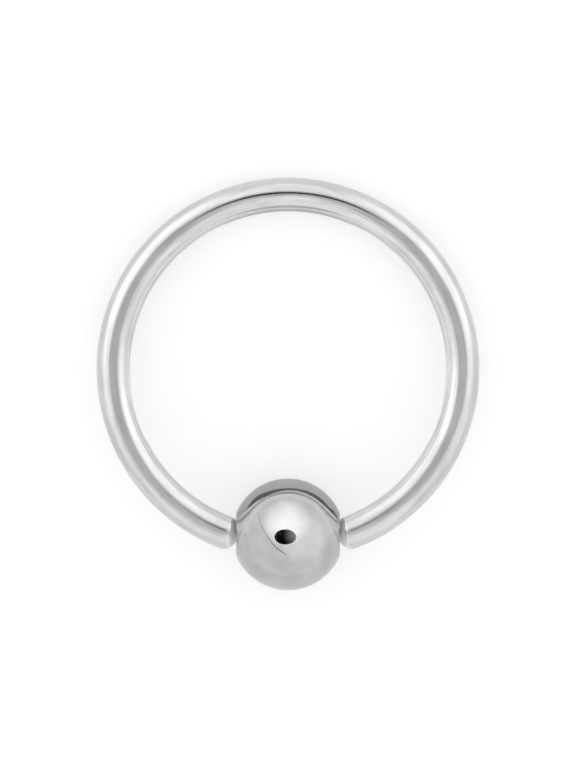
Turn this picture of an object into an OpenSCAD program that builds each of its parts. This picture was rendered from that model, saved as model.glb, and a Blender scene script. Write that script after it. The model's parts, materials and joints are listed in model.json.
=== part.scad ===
// Captive bead ring: a round wire hoop with a gap, closed by a bead that turns on the wire's two tips.
// It lies on its side as it would on a table: on the bead, and on the wire opposite the bead.
// Millimetres. X runs across the gap, from tip to tip. +Y points away from the bead. Z = 0 is the table.

/* [Wire] */
// Diameter of the round wire
wire_d = 1.2; // [0.8:0.05:2]
// Inside diameter of the hoop
hoop_inside_d = 11.3; // [8:0.1:20]
// How far the dome on each tip stands past the end of the wire's straight side
tip_dome = 0.34; // [0.24:0.02:0.4]

/* [Bead] */
// Diameter of the bead
bead_d = 4; // [3.4:0.1:6]
// Depth of the dimple on each side, from its rim to its floor
dimple_depth = 0.18; // [0.12:0.01:0.26]
// How far the rim of a dimple stands out past the wire all round
dimple_lip = 0.15; // [0.1:0.01:0.3]

/* [Fit] */
// Running gap between a tip's dome and the dimple at their closest
seat_gap = 0.04; // [0.02:0.01:0.08]
// How far the bead's axis sits out past the middles of the two domes
bead_outset = 0.15; // [0:0.01:0.2]

/* [Hidden] */
$fn = 96;

wire_r = wire_d / 2;
bead_r = bead_d / 2;
// Radius of the hoop's centre line
hoop_r = hoop_inside_d / 2 + wire_r;

// Radius of the ball that a dome or a dimple is a cap of
function cap_ball_r(rim_r, depth) = (pow(rim_r, 2) + pow(depth, 2)) / (2 * depth);

// The balls that cut the dimples have their centres on the bead's axis
dimple_rim_r = wire_r + dimple_lip;
dimple_ball_r = cap_ball_r(dimple_rim_r, dimple_depth);
dimple_ball_x = sqrt(pow(bead_r, 2) - pow(dimple_rim_r, 2)) - dimple_depth + dimple_ball_r;

// The balls of the domes have theirs on the hoop's centre line, inside the dimples' balls
dome_ball_r = cap_ball_r(wire_r, tip_dome);
dome_ball_x = dimple_ball_x - sqrt(pow(dimple_ball_r - seat_gap - dome_ball_r, 2) - pow(bead_outset, 2));

// Angles along the hoop, from the middle of the gap to a dome's ball and to the start of the dome
dome_ball_angle = asin(dome_ball_x / hoop_r);
shoulder_angle = dome_ball_angle - 2 * asin((dome_ball_r - tip_dome) / (2 * hoop_r));

// Distance from the hoop's centre to the bead's centre
bead_offset = hoop_r * cos(dome_ball_angle) + bead_outset;

// How the hoop leans where the bead lifts one side of it off the table
lean = asin((bead_r - wire_r) / (hoop_r + bead_offset));
hoop_centre_z = wire_r + hoop_r * sin(lean);
// Puts the origin under the middle of the whole ring
hoop_centre_y = ((bead_offset - hoop_r) * cos(lean) + bead_r - wire_r) / 2;

// Moves what is drawn flat round the hoop's centre to where it lies
module lying() {
    translate([0, hoop_centre_y, hoop_centre_z])
        rotate([-lean, 0, 0])
            children();
}

// Round wire bent to an arc that stops half_gap degrees short of the middle of the gap at both ends
module bent_wire(half_gap) {
    rotate([0, 0, half_gap - 90])
        rotate_extrude(angle = 360 - 2 * half_gap)
            translate([hoop_r, 0])
                circle(r = wire_r);
}

// What is ground off one end of the wire: all that lies past its dome
module tip_waste() {
    waste = 2 * (dome_ball_r + wire_d);
    rotate([0, 0, dome_ball_angle])
        translate([0, -hoop_r, 0])
            difference() {
                translate([-waste, -waste / 2, -waste / 2])
                    cube(waste);
                sphere(r = dome_ball_r);
            }
}

module wire_hoop() {
    color("silver")
        lying()
            difference() {
                bent_wire(shoulder_angle / 2);
                tip_waste();
                mirror([1, 0, 0])
                    tip_waste();
            }
}

module captive_bead() {
    color("gainsboro")
        lying()
            translate([0, -bead_offset, 0])
                difference() {
                    rotate([0, 90, 0])
                        sphere(r = bead_r);
                    for (side = [-1, 1])
                        translate([side * dimple_ball_x, 0, 0])
                            rotate([0, 90, 0])
                                sphere(r = dimple_ball_r);
                }
}

wire_hoop();
captive_bead();
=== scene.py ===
import json
import math

import bmesh
import bpy
from mathutils import Matrix, Vector


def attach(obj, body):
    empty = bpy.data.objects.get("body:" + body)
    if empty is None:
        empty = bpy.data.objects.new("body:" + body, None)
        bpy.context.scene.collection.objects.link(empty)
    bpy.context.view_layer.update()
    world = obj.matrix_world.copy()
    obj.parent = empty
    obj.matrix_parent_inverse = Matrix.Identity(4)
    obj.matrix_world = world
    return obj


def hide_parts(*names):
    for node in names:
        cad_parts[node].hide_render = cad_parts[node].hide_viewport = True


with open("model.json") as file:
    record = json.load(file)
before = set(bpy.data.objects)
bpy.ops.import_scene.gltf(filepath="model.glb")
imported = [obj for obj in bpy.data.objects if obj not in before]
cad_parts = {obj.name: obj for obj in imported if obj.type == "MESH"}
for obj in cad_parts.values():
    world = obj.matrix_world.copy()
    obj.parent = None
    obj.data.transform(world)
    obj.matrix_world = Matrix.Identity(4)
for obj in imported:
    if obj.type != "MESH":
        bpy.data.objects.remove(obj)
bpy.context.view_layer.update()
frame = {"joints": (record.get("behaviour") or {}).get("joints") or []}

# A captive bead ring lies on a white light table, inside a white tent, and is seen square on to its hoop.
# Ring sizes are in millimetres. "up" runs in the hoop's own plane, away from the bead,
# and "out" stands square off that plane, towards the camera.
MM = 0.001

# The ring's driving sizes
WIRE_D = 1.2
HOOP_INSIDE_D = 11.3
TIP_DOME = 0.34
BEAD_D = 4.0
DIMPLE_DEPTH = 0.18
DIMPLE_LIP = 0.15
SEAT_GAP = 0.04
BEAD_OUTSET = 0.15
# Radii that tumbling has put on the edges
SHOULDER_ROUND = 0.42
RIM_ROUND = 0.06

# How finely the skins are made
AROUND_WIRE = 72
ALONG_WIRE = 540
AROUND_BEAD = 192
ALONG_BEAD = 128
ALONG_DOME = 20
ALONG_DIMPLE = 20
ALONG_ROUNDING = 8


def cap_ball_r(rim_r, depth):
    """Radius of the ball that a dome or a dimple is a cap of."""
    return (rim_r**2 + depth**2) / (2 * depth)


wire_r = WIRE_D / 2
bead_r = BEAD_D / 2
hoop_r = HOOP_INSIDE_D / 2 + wire_r

dimple_rim_r = wire_r + DIMPLE_LIP
dimple_ball_r = cap_ball_r(dimple_rim_r, DIMPLE_DEPTH)
dimple_ball_x = math.sqrt(bead_r**2 - dimple_rim_r**2) - DIMPLE_DEPTH + dimple_ball_r

dome_ball_r = cap_ball_r(wire_r, TIP_DOME)
seat_reach = dimple_ball_r - SEAT_GAP - dome_ball_r
dome_ball_x = dimple_ball_x - math.sqrt(seat_reach**2 - BEAD_OUTSET**2)
dome_ball_angle = math.asin(dome_ball_x / hoop_r)

bead_offset = hoop_r * math.cos(dome_ball_angle) + BEAD_OUTSET
lean = math.asin((bead_r - wire_r) / (hoop_r + bead_offset))
hoop_centre_y = ((bead_offset - hoop_r) * math.cos(lean) + bead_r - wire_r) / 2
hoop_centre_z = wire_r + hoop_r * math.sin(lean)

# The hoop leans on the bead: these take (x, up, out) in millimetres to the frame's metres
leaning = Matrix.Rotation(-lean, 4, "X")
lying = Matrix.Translation((0, hoop_centre_y * MM, hoop_centre_z * MM)) @ leaning @ Matrix.Scale(MM, 4)
# The bead turns on the joint that the frame gives
bead_spin = frame["joints"][0]
bead_lying = Matrix.Translation(Vector(bead_spin["pos_m"])) @ leaning @ Matrix.Scale(MM, 4)


def arc(centre, radius, start, stop, steps):
    """Points (along, off) on a circle round (along, off) centre, from one angle to another."""
    angles = [start + (stop - start) * k / steps for k in range(steps + 1)]
    return [(centre[0] + radius * math.cos(t), centre[1] + radius * math.sin(t)) for t in angles]


def skin(name, place, rings, slot_of_band, materials, note, notes):
    """A closed smooth skin through rings of points, which keeps a note of three numbers at every point.

    The first and last rings are single points.
    """
    made = bmesh.new()
    layer = made.verts.layers.float_vector.new(note)
    loops = []
    for ring, values in zip(rings, notes):
        loop = [made.verts.new(place @ Vector(p)) for p in ring]
        for vert, value in zip(loop, values):
            vert[layer] = value
        loops.append(loop)
    for n, (near, far) in enumerate(zip(loops, loops[1:])):
        count = max(len(near), len(far))
        for j in range(count):
            k = (j + 1) % count
            corners = [near[j % len(near)], near[k % len(near)], far[k % len(far)], far[j % len(far)]]
            face = made.faces.new(list(dict.fromkeys(corners)))
            face.smooth = True
            face.material_index = slot_of_band(n)
    bmesh.ops.recalc_face_normals(made, faces=made.faces)
    return place_mesh(name, made, materials)


def place_mesh(name, made, materials):
    """Turns a finished bmesh into an object in the scene."""
    mesh = bpy.data.meshes.new(name)
    made.to_mesh(mesh)
    made.free()
    for material in materials:
        mesh.materials.append(material)
    piece = bpy.data.objects.new(name, mesh)
    bpy.context.scene.collection.objects.link(piece)
    return piece


def linear(code):
    """sRGB hex to linear red, green, blue and alpha."""
    shares = [int(code[i : i + 2], 16) / 255 for i in (1, 3, 5)]
    return (*[c / 12.92 if c <= 0.04045 else ((c + 0.055) / 1.055) ** 2.4 for c in shares], 1.0)


def add(tree, kind, inputs=None, **settings):
    """Adds a node with its settings. An input's value is a number, a vector, or a socket to link it from."""
    made = tree.nodes.new(kind)
    for name, value in settings.items():
        setattr(made, name, value)
    for name, value in (inputs or {}).items():
        if isinstance(value, bpy.types.NodeSocket):
            tree.links.new(value, made.inputs[name])
        else:
            made.inputs[name].default_value = value
    return made


def new_material(name):
    """An empty material: itself, its tree and its output node."""
    material = bpy.data.materials.new(name)
    material.use_nodes = True
    material.node_tree.nodes.clear()
    return material, material.node_tree, add(material.node_tree, "ShaderNodeOutputMaterial")


def noise(tree, place, size, **inputs):
    """Even noise with grains of about size millimetres, one number or three, over a place in millimetres."""
    sizes = size if isinstance(size, tuple) else (size, size, size)
    scale = tuple(1 / s for s in sizes)
    scaled = add(tree, "ShaderNodeVectorMath", {0: place, 1: scale}, operation="MULTIPLY").outputs[0]
    inputs = {"Vector": scaled, "Scale": 1.0, "Detail": 2.0, **inputs}
    return add(tree, "ShaderNodeTexNoise", inputs).outputs["Fac"]


def spread(tree, value, low, high, to_low, to_high, steps="LINEAR"):
    """Maps low to high onto to_low to to_high, and no further."""
    inputs = {"Value": value, "From Min": low, "From Max": high, "To Min": to_low, "To Max": to_high}
    return add(tree, "ShaderNodeMapRange", inputs, interpolation_type=steps).outputs["Result"]


def reckon(tree, operation, first, second):
    """One sum of two numbers or sockets."""
    return add(tree, "ShaderNodeMath", {0: first, 1: second}, operation=operation).outputs[0]


def hairlines(tree, place, turn, length, width, share):
    """Fine straight scratches: 1 on a scratch and 0 off it. share is how much of the surface they cross."""
    inputs = {"Vector": place, "Rotation": turn}
    turned = add(tree, "ShaderNodeVectorRotate", inputs, rotation_type="EULER_XYZ")
    streaks = noise(tree, turned.outputs[0], (length, width, width), Detail=0.0)
    # Only the peaks of the stretched noise are scratches, which keeps them straight and apart
    lines = spread(tree, streaks, 0.64, 0.72, 0.0, 1.0)
    # Handling scratches some patches and spares the rest
    handled = noise(tree, turned.outputs[0], length * 0.7)
    patches = spread(tree, handled, 0.62 - share, 0.70 - share, 0.0, 1.0)
    return reckon(tree, "MULTIPLY", lines, patches)


def steel(tree, output, colour, roughness, bumps):
    """Bare steel. Bumps are pairs of a height socket and its real height in millimetres."""
    normal = None
    for height, real in bumps:
        inputs = {"Height": height, "Strength": 1.0, "Distance": real * MM}
        if normal:
            inputs["Normal"] = normal
        normal = add(tree, "ShaderNodeBump", inputs).outputs["Normal"]
    inputs = {"Base Color": colour, "Metallic": 1.0, "Roughness": roughness, "Normal": normal}
    shader = add(tree, "ShaderNodeBsdfPrincipled", inputs)
    tree.links.new(shader.outputs[0], output.inputs["Surface"])


def two_tones(tree, share, first, second):
    """Mixes two colours, each a hex code or a socket. A share of 0 is the first, and 1 is the second."""
    ends = [linear(colour) if isinstance(colour, str) else colour for colour in (first, second)]
    return add(tree, "ShaderNodeMix", {0: share, 6: ends[0], 7: ends[1]}, data_type="RGBA").outputs[2]


WIRE_NOTE = "straight_wire"
BEAD_NOTE = "bead_place"


def drawn_wire_steel():
    """316L surgical steel wire, drawn through a die and tumbled bright.

    It mirrors the tent in bands along its length. The die leaves lines along it, and use leaves hairlines.
    """
    material, tree, output = new_material("drawn_wire_steel")
    # (across, across, along) of the wire unbent, so that the die's lines have no seam and no bend
    straight = add(tree, "ShaderNodeAttribute", attribute_name=WIRE_NOTE).outputs["Vector"]
    # Real die lines are some 0.01 mm apart, too fine to show, so these are drawn at 0.05 mm
    die_lines = noise(tree, straight, (0.05, 0.05, 3.0))
    # A bent wire is never quite even: long shallow waves make its reflections waver
    waves = noise(tree, straight, (0.9, 0.9, 2.2), Detail=0.0)
    # Real hairlines are some 0.01 mm wide, drawn at 0.03 mm
    lines = hairlines(tree, straight, (0.0, 1.3, 0.3), 1.8, 0.07, 0.08)
    # The ends are gripped when the hoop is bent, and polished less after it
    along = add(tree, "ShaderNodeSeparateXYZ", {0: straight}).outputs["Z"]
    from_top = reckon(tree, "ABSOLUTE", reckon(tree, "SUBTRACT", along, math.pi * hoop_r), 0.0)
    end = (math.pi - dome_ball_angle) * hoop_r
    gripped = spread(tree, from_top, end - 4.5, end - 1.0, 0.0, 0.07, "SMOOTHSTEP")
    # The rounding at each tip is left from the stone that shaped it. It is rougher there, and paler with
    # painted light.
    stoned_and_painted_light = spread(tree, from_top, end + 0.3, end + 0.54, 0.0, 1.0, "SMOOTHSTEP")
    roughness = spread(tree, die_lines, 0.3, 0.7, 0.08, 0.14)
    for more in (gripped, reckon(tree, "MULTIPLY", stoned_and_painted_light, 0.31), reckon(tree, "MULTIPLY", lines, 0.06)):
        roughness = reckon(tree, "ADD", roughness, more)
    # Handling leaves it dull in patches, longer along the wire than across it
    patches = spread(tree, noise(tree, straight, (0.35, 0.35, 1.3), Detail=3.0), 0.32, 0.68, 0.0, 1.0)
    wear = reckon(tree, "ADD", reckon(tree, "MULTIPLY", patches, 0.6), reckon(tree, "MULTIPLY", lines, 0.1))
    polished = two_tones(tree, wear, "#CECECE", "#B2B2B2")
    # Painted light: the tips are paler, to lighten them where they lie in shade by the bead
    colour = two_tones(tree, stoned_and_painted_light, polished, "#E8E8E8")
    steel(tree, output, colour, roughness, [(waves, 0.0014), (die_lines, 0.0004), (lines, -0.0004)])
    return material


def ground_tip_steel():
    """The same wire where its tips were rounded on a fine stone: satin, with short crossing marks, and pale
    with painted light.
    """
    material, tree, output = new_material("ground_tip_steel")
    straight = add(tree, "ShaderNodeAttribute", attribute_name=WIRE_NOTE).outputs["Vector"]
    # A 600 grit stone leaves marks of 0.01 mm, drawn at 0.04 mm
    marks = noise(tree, straight, (0.04, 0.4, 0.04))
    roughness = spread(tree, marks, 0.3, 0.7, 0.42, 0.5)
    # Painted light: a near white colour that lightens the tips where they lie in shade by the bead
    colour = two_tones(tree, spread(tree, marks, 0.3, 0.7, 0.0, 1.0), "#E8E8E8", "#F2F2F2")
    steel(tree, output, colour, roughness, [(marks, 0.0001)])
    return material


def mirror_bead_steel():
    """316L steel bead, ground round and mirror polished: sharp reflections, hairlines, pits and smudges."""
    material, tree, output = new_material("mirror_bead_steel")
    place = add(tree, "ShaderNodeAttribute", attribute_name=BEAD_NOTE).outputs["Vector"]
    # Fingers leave smudges of about a millimetre
    smudges = noise(tree, place, 0.8, Detail=4.0)
    waves = noise(tree, place, 0.9, Detail=0.0)
    # Hairlines are drawn at 0.03 mm, as on the wire
    lines = hairlines(tree, place, (0.4, 0.3, 0.2), 1.6, 0.07, 0.08)
    cross = hairlines(tree, place, (0.2, 1.1, 1.9), 1.3, 0.07, 0.06)
    both = reckon(tree, "MAXIMUM", lines, cross)
    # Pits are some 0.01 mm wide, drawn at 0.04 mm
    pits = spread(tree, noise(tree, place, 0.08, Detail=0.0), 0.16, 0.22, 1.0, 0.0)
    roughness = spread(tree, smudges, 0.35, 0.65, 0.035, 0.075)
    roughness = reckon(tree, "ADD", roughness, reckon(tree, "MULTIPLY", both, 0.08))
    smeared = spread(tree, smudges, 0.35, 0.65, 0.0, 0.5)
    wear = reckon(tree, "ADD", smeared, reckon(tree, "MULTIPLY", both, 0.15))
    colour = two_tones(tree, wear, "#C4C4C4", "#A9A9A9")
    steel(tree, output, colour, roughness, [(waves, 0.0008), (both, -0.0002), (pits, -0.0006)])
    return material


def turned_dimple_steel():
    """The dimples, cut with a ball-nosed tool and left so: satin, with fine rings round the bead's axis, and
    pale with painted light.
    """
    material, tree, output = new_material("turned_dimple_steel")
    place = add(tree, "ShaderNodeAttribute", attribute_name=BEAD_NOTE).outputs["Vector"]
    off_axis = add(tree, "ShaderNodeVectorMath", {0: place, 1: (0.0, 1.0, 1.0)}, operation="MULTIPLY")
    radius = add(tree, "ShaderNodeVectorMath", {0: off_axis.outputs[0]}, operation="LENGTH").outputs["Value"]
    # The tool leaves a ring every 0.02 mm, drawn every 0.06 mm
    rings = reckon(tree, "SINE", reckon(tree, "MULTIPLY", radius, 2 * math.pi / 0.06), 0.0)
    grain = noise(tree, place, 0.05)
    roughness = spread(tree, grain, 0.3, 0.7, 0.3, 0.42)
    # Painted light: a pale colour that lightens the dimples, which lie in shade against the tips
    colour = two_tones(tree, grain, "#DCDCDC", "#E8E8E8")
    steel(tree, output, colour, roughness, [(rings, 0.0006), (grain, 0.0004)])
    return material


def dome_profile():
    """(along, off) from a tip's apex to its straight side. Along runs from the dome's ball to the gap."""
    centre_off = wire_r - SHOULDER_ROUND
    centre_along = math.sqrt((dome_ball_r - SHOULDER_ROUND) ** 2 - centre_off**2)
    shoulder = math.atan2(centre_off, centre_along)
    dome = arc((0, 0), dome_ball_r, 0, shoulder, ALONG_DOME)
    rounding = arc((centre_along, centre_off), SHOULDER_ROUND, shoulder, math.pi / 2, ALONG_ROUNDING)
    return dome + rounding[1:]


def wire_section(angle, centre, radius):
    """One ring of points round the wire, and the same points on the wire unbent."""
    count = AROUND_WIRE if radius > 1e-6 else 1
    points, unbent = [], []
    for t in [2 * math.pi * k / count for k in range(count)]:
        reach = centre + radius * math.cos(t)
        points.append((reach * math.sin(angle), -reach * math.cos(angle), radius * math.sin(t)))
        unbent.append((radius * math.cos(t), radius * math.sin(t), hoop_r * angle))
    return points, unbent


def make_hoop():
    """The bent wire with its domed tips, from the right tip round the top to the left one."""
    tip = []
    for along, off in dome_profile():
        back = math.asin(along / hoop_r)
        # On the dome the sections' centres lie on its ball's own axis, and past the shoulder on the hoop
        share = min(1.0, (wire_r - off) / SHOULDER_ROUND)
        centre = hoop_r * (1 - share + share * math.cos(back))
        tip.append((dome_ball_angle - back, centre, off))
    start = tip[-1][0]
    sweep = 2 * math.pi - 2 * start
    middle = [(start + sweep * k / ALONG_WIRE, hoop_r, wire_r) for k in range(1, ALONG_WIRE)]
    other_tip = [(2 * math.pi - angle, centre, off) for angle, centre, off in reversed(tip)]
    sections = [wire_section(*each) for each in tip + middle + other_tip]
    last_band = len(sections) - 2

    def slot_of_band(band):
        return 1 if min(band, last_band - band) < ALONG_DOME else 0

    points = [each[0] for each in sections]
    unbent = [each[1] for each in sections]
    materials = [drawn_wire_steel(), ground_tip_steel()]
    return skin("hoop_wire", lying, points, slot_of_band, materials, WIRE_NOTE, unbent)


def bead_profile():
    """(along, off) from the floor of the left dimple to the floor of the right one."""
    inner, outer = bead_r - RIM_ROUND, dimple_ball_r + RIM_ROUND
    centre_along = (inner**2 - outer**2 + dimple_ball_x**2) / (2 * dimple_ball_x)
    centre_off = math.sqrt(inner**2 - centre_along**2)
    on_bead = math.atan2(centre_off, centre_along)
    on_dimple = math.atan2(centre_off, centre_along - dimple_ball_x)
    dimple = arc((dimple_ball_x, 0), dimple_ball_r, math.pi, on_dimple, ALONG_DIMPLE)
    rounding = arc((centre_along, centre_off), RIM_ROUND, on_dimple - math.pi, on_bead, ALONG_ROUNDING)
    half = dimple + rounding[1:]
    ball = arc((0, 0), bead_r, math.pi - on_bead, on_bead, ALONG_BEAD)
    return [(-along, off) for along, off in half] + ball[1:-1] + half[::-1]


def make_bead():
    """The bead, turned about its spin axis."""
    rings = []
    for along, off in bead_profile():
        count = AROUND_BEAD if off > 1e-6 else 1
        turns = [2 * math.pi * k / count for k in range(count)]
        rings.append([(along, off * math.cos(t), off * math.sin(t)) for t in turns])
    last_band = len(rings) - 2

    def slot_of_band(band):
        return 1 if min(band, last_band - band) < ALONG_DIMPLE else 0

    materials = [mirror_bead_steel(), turned_dimple_steel()]
    return skin("bead", bead_lying, rings, slot_of_band, materials, BEAD_NOTE, rings)


# Camera and framing. The picture is 576 by 768 pixels.
PICTURE_W, PICTURE_H = 576, 768
PICTURE_WIDTH_MM = 20.6
LENS_MM = 330.0
SENSOR_MM = 36.0
frame_middle_up = ((hoop_r + wire_r) - (bead_offset + bead_r)) / 2
camera_out = LENS_MM / SENSOR_MM * PICTURE_WIDTH_MM * PICTURE_H / PICTURE_W
HOOP_MID = Vector((0, 0, 0))
HOOP_TOP = Vector((0, hoop_r, 0))
BEAD_MID = Vector((0, -bead_offset, 0))
# The bead sees the camera this many degrees above straight out
bead_view_up = math.degrees(math.atan2(frame_middle_up + bead_offset, camera_out))


def place_camera():
    """Square on to the hoop, as in the photograph."""
    camera = bpy.data.objects.new("camera", bpy.data.cameras.new("camera"))
    camera.data.lens = LENS_MM
    camera.data.sensor_width = SENSOR_MM
    camera.data.clip_start, camera.data.clip_end = MM, 2.0
    camera.matrix_world = Matrix.Translation(lying @ Vector((0, frame_middle_up, camera_out))) @ leaning
    bpy.context.scene.collection.objects.link(camera)
    bpy.context.scene.camera = camera


def tan(degrees):
    return math.tan(math.radians(degrees))


def across(distance, degrees):
    """Width in metres of what is seen this many degrees wide from this many millimetres away."""
    return 2 * distance * MM * tan(degrees / 2)


def bearing_of(right, up):
    """Tilt and bearing of a small angle to the right and up, all in degrees."""
    return math.hypot(right, up), math.degrees(math.atan2(right, up))


def towards(tilt, bearing):
    """Direction in the hoop's frame: tilt is from straight out, and bearing is clockwise from up."""
    t, b = math.radians(tilt), math.radians(bearing)
    return Vector((math.sin(t) * math.sin(b), math.sin(t) * math.cos(b), math.cos(t)))


def facing(tilt, bearing, distance, about, roll=0.0):
    """Matrix in metres of a thing that looks at a point of the hoop. Its Y runs away from straight out."""
    b = math.radians(bearing)
    back = towards(tilt, bearing)
    side = Vector((math.cos(b), -math.sin(b), 0))
    turned = Matrix((side, back.cross(side), back)).transposed().to_4x4()
    place = Matrix.Translation(lying @ (about + back * distance))
    return place @ leaning @ turned @ Matrix.Rotation(math.radians(roll), 4, "Z")


def stage_disc(name, radius, material):
    """A thin round disc that belongs to the stage."""
    made = bmesh.new()
    bmesh.ops.create_circle(made, cap_ends=True, radius=radius, segments=128)
    piece = place_mesh(name, made, [material])
    return piece


def glowing(name, brightness):
    """A material that looks equally bright from everywhere. 1 is white paper."""
    material, tree, output = new_material(name)
    glow = add(tree, "ShaderNodeEmission", {"Color": linear("#FFFFFF"), "Strength": brightness})
    tree.links.new(glow.outputs[0], output.inputs["Surface"])
    return material


def reflected_only(piece):
    """Makes a thing part of the stage that only mirrors show."""
    piece.visible_camera = False
    piece.visible_diffuse = False
    piece.visible_shadow = False
    return piece


def card(name, matrix, width, height, brightness):
    """An oval card that only reflections show."""
    piece = reflected_only(stage_disc(name, 0.5, glowing(name, brightness)))
    piece.matrix_world = matrix @ Matrix.Diagonal((width, height, 1, 1))


def mirrored(share, bearing):
    """Direction that the bead shows the camera at a place on it: a share of its radius, and a bearing."""
    square = towards(math.degrees(math.asin(share)), bearing)
    camera = towards(bead_view_up, 0)
    return 2 * square.dot(camera) * square - camera


def ribbon(name, places, distance, brightness):
    """A narrow strip that the bead mirrors.

    Its places are shares of the bead's radius, bearings and widths in degrees.
    """
    last = len(places) - 1
    made = bmesh.new()
    run = [mirrored(share, bearing) for share, bearing, wide in places]
    sides = []
    for n, here in enumerate(run):
        ahead = run[min(n + 1, last)] - run[max(n - 1, 0)]
        half = ahead.cross(here).normalized() * tan(places[n][2] / 2)
        ends = [BEAD_MID + distance * (here + way * half) for way in (-1, 1)]
        sides.append([made.verts.new(lying @ end) for end in ends])
    for (a, b), (c, d) in zip(sides, sides[1:]):
        made.faces.new((a, b, d, c))
    reflected_only(place_mesh(name, made, [glowing(name, brightness)]))


def only_for(lamp, piece):
    """Lets a lamp light one piece alone."""
    group = bpy.data.collections.new(lamp.name + "_lights")
    group.objects.link(piece)
    lamp.light_linking.receiver_collection = group


def soft_lamp(name, matrix, width, height, brightness, piece, shape="RECTANGLE", fade=None, hole=None):
    """A flat lamp that one piece mirrors, sized in metres. Brightness 1 adds as much as white paper does.

    fade and hole are (x, y, start, stop) in metres on the lamp, which dims outwards, or inwards, from there.
    """
    light = bpy.data.lights.new(name, "AREA")
    light.shape = shape
    light.size, light.size_y = width, height
    area = width * height * (math.pi / 4 if shape == "ELLIPSE" else 1)
    light.energy = brightness * math.pi * area
    if fade or hole:
        x, y, start, stop = fade or hole
        light.use_nodes = True
        tree = light.node_tree
        over = add(tree, "ShaderNodeNewGeometry").outputs["Parametric"]
        metres = add(tree, "ShaderNodeVectorMath", {0: over, 1: (width, height, 0)}, operation="MULTIPLY")
        middle = (width / 2 + x, height / 2 + y, 0)
        far = add(tree, "ShaderNodeVectorMath", {0: metres.outputs[0], 1: middle}, operation="DISTANCE")
        inside, outside = (1.0, 0.0) if fade else (0.0, 1.0)
        share = spread(tree, far.outputs["Value"], start, stop, inside, outside, "SMOOTHSTEP")
        tree.links.new(share, tree.nodes["Emission"].inputs["Strength"])
    lamp = bpy.data.objects.new(name, light)
    bpy.context.scene.collection.objects.link(lamp)
    lamp.matrix_world = matrix
    lamp.visible_camera = False
    only_for(lamp, piece)


def soft_ball(name, place, radius, brightness, piece):
    """A glowing ball that one piece mirrors, sized in millimetres. Brightness is as for a flat lamp."""
    light = bpy.data.lights.new(name, "POINT")
    light.shadow_soft_size = radius * MM
    light.energy = brightness * 4 * (math.pi * radius * MM) ** 2
    lamp = bpy.data.objects.new(name, light)
    bpy.context.scene.collection.objects.link(lamp)
    lamp.matrix_world = Matrix.Translation(lying @ place)
    lamp.visible_camera = False
    only_for(lamp, piece)


FLOOR_R = 0.8


def matte(name, colour, glow):
    """Matt acrylic or paper, with a share of light coming through it."""
    material, tree, output = new_material(name)
    inputs = {
        "Base Color": linear(colour),
        "Roughness": 0.6,
        "Specular IOR Level": 0.2,
        "Emission Color": linear("#FFFFFF"),
        "Emission Strength": glow,
    }
    shader = add(tree, "ShaderNodeBsdfPrincipled", inputs)
    tree.links.new(shader.outputs[0], output.inputs["Surface"])
    return material


def light_table():
    """A white acrylic light table, lit from below so that shadows stay faint."""
    table = stage_disc("light_table", FLOOR_R, matte("light_table", "#CCCCCC", 0.46))
    table.location.z = -0.01 * MM


def paper(name, outline, colour, glow, glows_for=None):
    """Paper on the table that only reflections show, with its outline in millimetres."""
    made = bmesh.new()
    made.faces.new([made.verts.new((x * MM, y * MM, -0.005 * MM)) for x, y in outline])
    made.normal_update()
    sheet = reflected_only(place_mesh(name, made, [matte(name, colour, glow)]))
    if glows_for:
        only_for(sheet, glows_for)


def white_tent():
    """The plain white tent round the table."""
    world = bpy.data.worlds.new("white_tent")
    world.use_nodes = True
    background = world.node_tree.nodes["Background"]
    background.inputs["Color"].default_value = linear("#FFFFFF")
    background.inputs["Strength"].default_value = 1.0
    bpy.context.scene.world = world


# How far off the cards and lamps stand, in millimetres. Nearer ones hide or add to those behind them
SPOT_AWAY = 200
HOOP_BOX_AWAY = 200
EDGE_AWAY = 215
BEAD_BOX_AWAY = 222
LINE_AWAY = 235
RIM_AWAY = 250
FRONT_AWAY = 340
# The front of the tent is this share as bright as the rest
FRONT_GREY = 0.72
# Angles that the front, the spot and the line's disc are seen at, wide and high in degrees
FRONT_WIDE, FRONT_HIGH = 60, 36
SPOT_WIDE, SPOT_HIGH = 44.6, 31.2
RIM_WIDE, RIM_HIGH = 52, 39
LINE_WIDE = 12.5
# Where their middles are seen, to the right and up in degrees. The spot's are about the camera
FRONT_UP = 4
SPOT_RIGHT, SPOT_UP = -5.6, -5.2
LINE_TILT = 9.9

# The table inside the hoop as the bead mirrors it, in painted shade: a dark band of painted shadow a little
# way off, and grey painted shade close by
SHADOW_BAND_FAR = (
    (-5.9, -1.6), (-6.1, -0.3), (-6.0, 1.2), (-5.7, 2.9), (-5.0, 4.0), (-2.8, 4.6), (0, 4.1),
    (2.5, 3.5), (4.6, 2.3), (6.1, 0.6), (6.2, -0.9), (6.1, -1.4), (5.7, -2.7), (4.3, -4.3),
)
SHADOW_BAND_NEAR = (
    (-5.6, -2.6), (-4.8, -2.0), (-3.9, -1.7), (-3.3, -1.0), (-2.9, 0.0), (-1.8, 1.3), (0, 1.8),
    (1.7, 1.1), (3.1, -0.3), (4.1, -1.5), (4.7, -2.2), (4.6, -2.7), (4.1, -3.4), (3.9, -4.3),
)
# The grey painted shade close by ends at the bead, where the table below it starts
UNDER_BEAD = -5.0
TABLE_SIDE, TABLE_END = 400, -600
# The painted shade by the wire at the top, as bearings in degrees and radii from the hoop's middle
SHADE_BY_WIRE = (
    (-28, 5.5), (-20, 4.6), (-10, 4.1), (0, 3.9), (10, 4.1), (20, 4.5), (28, 5.5),
    (20, 5.6), (10, 5.6), (0, 5.6), (-10, 5.6), (-20, 5.6),
)
# The dark edge of the bead's softbox: shares of the bead's radius, bearings and widths in degrees
SOFTBOX_EDGE = (
    (0.682, -52, 0.5), (0.573, -62, 0.7), (0.473, -73, 0.9), (0.379, -87, 1.3),
    (0.319, -111, 2.2), (0.301, -133, 2.8), (0.305, -158, 2.8), (0.347, -177, 1.0),
)
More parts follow.
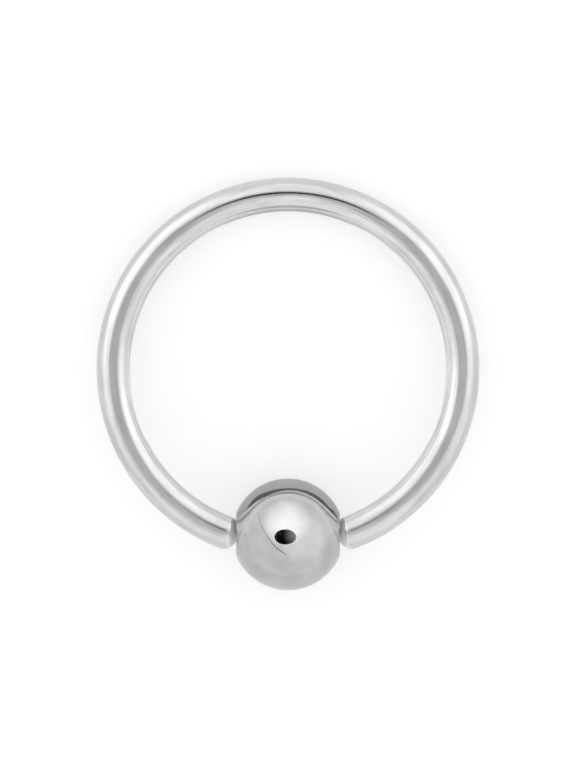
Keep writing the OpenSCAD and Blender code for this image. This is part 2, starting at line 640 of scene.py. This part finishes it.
# The hoop's round softboxes: tilt, bearing, where they start to fade and end, in degrees, and brightness
HOOP_ROUND_BOXES = (
    ("hoop_right_top", 62, 54, 10, 45, 0.66),
    ("hoop_left_top", 62, -54, 10, 45, 0.66),
    ("hoop_right", 60, 100, 5, 38, 0.27),
    ("hoop_left", 60, -100, 5, 38, 0.33),
)
# Its square ones: tilt, bearing, width and height in degrees, and brightness
HOOP_SQUARE_BOXES = (
    ("hoop_top", 53, 0, 24, 52, 0.32),
    ("hoop_bottom", 57, 180, 80, 62, 0.22),
    ("hoop_bottom_low", 16, 180, 8, 18, 0.4),
)


def table_as_mirrored(hoop):
    """Papers that give the table the tones that the bead mirrors, two of them painted shadow and painted
    shade.
    """
    # Painted shadow: a dark sheet for the ring's shadow on the table inside it, which glows for the hoop
    # alone
    paper("painted_shadow_band", SHADOW_BAND_FAR + SHADOW_BAND_NEAR[::-1], "#7C7C7C", 0.8, hoop)
    # Painted shade: a grey sheet close by the bead, which only reflections show
    paper("shaded_table", SHADOW_BAND_NEAR + ((3.0, UNDER_BEAD), (-3.4, UNDER_BEAD)), "#E3E3E3", 0.0)
    # Below the bead it is no brighter than the tent at the horizon, and greyer close by
    near = ((-TABLE_SIDE, UNDER_BEAD), (TABLE_SIDE, UNDER_BEAD))
    paper("table_below", near + ((TABLE_SIDE, TABLE_END), (-TABLE_SIDE, TABLE_END)), "#FAFAFA", 0.1, hoop)


def shade_by_wire(bead):
    """Painted shade on a paper: the table is darkest close by the wire at the top."""
    outline = []
    for bearing, radius in SHADE_BY_WIRE:
        turn = math.radians(bearing)
        outline.append((radius * math.sin(turn), hoop_centre_y + radius * math.cos(turn)))
    # A grey sheet of painted shade, which glows for the bead alone
    paper("shade_by_wire", outline, "#E0E0E0", 0.3, bead)


def tent_front(bead):
    """The grey front of the tent, round the camera. The bead sees it as bright as the rest of the tent."""
    tilt, bearing = bearing_of(0, FRONT_UP)
    front = (across(FRONT_AWAY, FRONT_WIDE), across(FRONT_AWAY, FRONT_HIGH))
    card("grey_front", facing(tilt, bearing, FRONT_AWAY, HOOP_MID), *front, FRONT_GREY)
    before_it = facing(tilt, bearing, FRONT_AWAY - 1, HOOP_MID)
    soft_lamp("bead_front", before_it, *front, 1 - FRONT_GREY, bead, "ELLIPSE")


def spot_and_line(hoop, bead):
    """The black spot in the middle of the bead, paler at its right, and the dark line at the top of the hoop.

    The hoop sees the spot as grey as the tent's front, and the bead sees the disc as bright as its softbox.
    """
    tilt, bearing = bearing_of(SPOT_RIGHT, SPOT_UP + bead_view_up)
    wide, high = across(SPOT_AWAY, SPOT_WIDE), across(SPOT_AWAY, SPOT_HIGH)
    card("black_spot", facing(tilt, bearing, SPOT_AWAY, BEAD_MID, bearing), wide, high, 0.0)
    before_it = facing(tilt, bearing, SPOT_AWAY - 1, BEAD_MID, bearing)
    haze = (wide * 0.47, wide * 0.1, 0, wide * 0.62)
    soft_lamp("bead_spot_haze", before_it, wide, high, 0.38, bead, "ELLIPSE", fade=haze)
    rim = (across(RIM_AWAY, RIM_WIDE), across(RIM_AWAY, RIM_HIGH))
    behind_it = facing(tilt, bearing, RIM_AWAY, BEAD_MID, bearing)
    soft_lamp("bead_spot_rim", behind_it, *rim, 0.12, bead, "ELLIPSE")

    line_mid = HOOP_TOP + LINE_AWAY * towards(LINE_TILT, 0)
    disc = across(LINE_AWAY, LINE_WIDE)
    card("black_disc", Matrix.Translation(lying @ line_mid) @ leaning, disc, disc, 0.0)
    before_disc = line_mid + (BEAD_MID - line_mid).normalized()
    disc_face = Matrix.Translation(lying @ before_disc) @ leaning
    soft_lamp("bead_line", disc_face, disc, disc, 1.0, bead, "ELLIPSE")
    # The lamp that hides the spot from the hoop has a hole where the top of the hoop sees the disc
    fill_mid = BEAD_MID + (SPOT_AWAY - 1) * towards(tilt, bearing)
    seen = HOOP_TOP + (line_mid - HOOP_TOP) * (fill_mid.z / line_mid.z) - fill_mid
    hole_r = across(SPOT_AWAY, LINE_WIDE) / 2
    hole = (seen.x * MM, seen.y * MM, hole_r * 0.98, hole_r * 1.02)
    soft_lamp("hoop_spot", before_it, wide, high, FRONT_GREY, hoop, "ELLIPSE", hole=hole)


def bead_softboxes(bead):
    """A wide softbox over the top of the bead and a faint one at its right, both brightest in one place."""
    away = BEAD_BOX_AWAY * MM
    # How far the upper one reaches to its sides and ends, as the bead sees it in degrees
    left, right, tall = away * tan(50.3), away * tan(64), away * tan(66)
    middle = (right - left) / 2
    top_box = facing(30, 0, BEAD_BOX_AWAY, BEAD_MID, roll=20.4) @ Matrix.Translation((middle, 0, 0))
    soft_lamp("bead_top", top_box, left + right, 2 * tall, 0.78, bead,
              fade=(-middle - away * tan(10), 0, away * tan(4), away * tan(55)))
    right_r = away * tan(54)
    soft_lamp("bead_right", facing(40, 105, BEAD_BOX_AWAY, BEAD_MID), 2 * right_r, 2 * right_r, 0.27, bead,
              fade=(0, 0, away * tan(8), right_r))
    ribbon("softbox_edge", SOFTBOX_EDGE, EDGE_AWAY, 0.4)


def hoop_softboxes(hoop):
    """Softboxes that give the hoop its bright bands."""
    for name, tilt, bearing, full, out, bright in HOOP_ROUND_BOXES:
        wide = across(HOOP_BOX_AWAY, 2 * out)
        soft_lamp(name, facing(tilt, bearing, HOOP_BOX_AWAY, HOOP_MID), wide, wide, bright, hoop, "ELLIPSE",
                  fade=(0, 0, across(HOOP_BOX_AWAY, 2 * full) / 2, wide / 2))
    for name, tilt, bearing, wide, high, bright in HOOP_SQUARE_BOXES:
        soft_lamp(name, facing(tilt, bearing, HOOP_BOX_AWAY, HOOP_MID), across(HOOP_BOX_AWAY, wide),
                  across(HOOP_BOX_AWAY, high), bright, hoop)


def hoop_glows(hoop):
    """The table glows most where the ring lies, and a pale haze hides the hoop's dark view of itself."""
    glow_mid = Matrix.Translation((0, -2.0 * MM, 0.002 * MM)) @ Matrix.Rotation(math.pi, 4, "X")
    soft_lamp("hoop_table_glow", glow_mid, 10.5 * MM, 8 * MM, 0.3, hoop, "ELLIPSE")
    soft_ball("hoop_haze", Vector((0, 0, -0.33)), 0.9, 0.3, hoop)


place_camera()
hoop = make_hoop()
bead = make_bead()
for piece, body, node, slot in (
    (hoop, "hoop", "wire_hoop", "wire_steel"),
    (bead, "bead", "captive_bead", "bead_steel"),
):
    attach(piece, body)
    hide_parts(node)

bpy.context.scene.view_settings.view_transform = "Standard"
white_tent()
light_table()
table_as_mirrored(hoop)
tent_front(bead)
spot_and_line(hoop, bead)
bead_softboxes(bead)
hoop_softboxes(hoop)
hoop_glows(hoop)
shade_by_wire(bead)
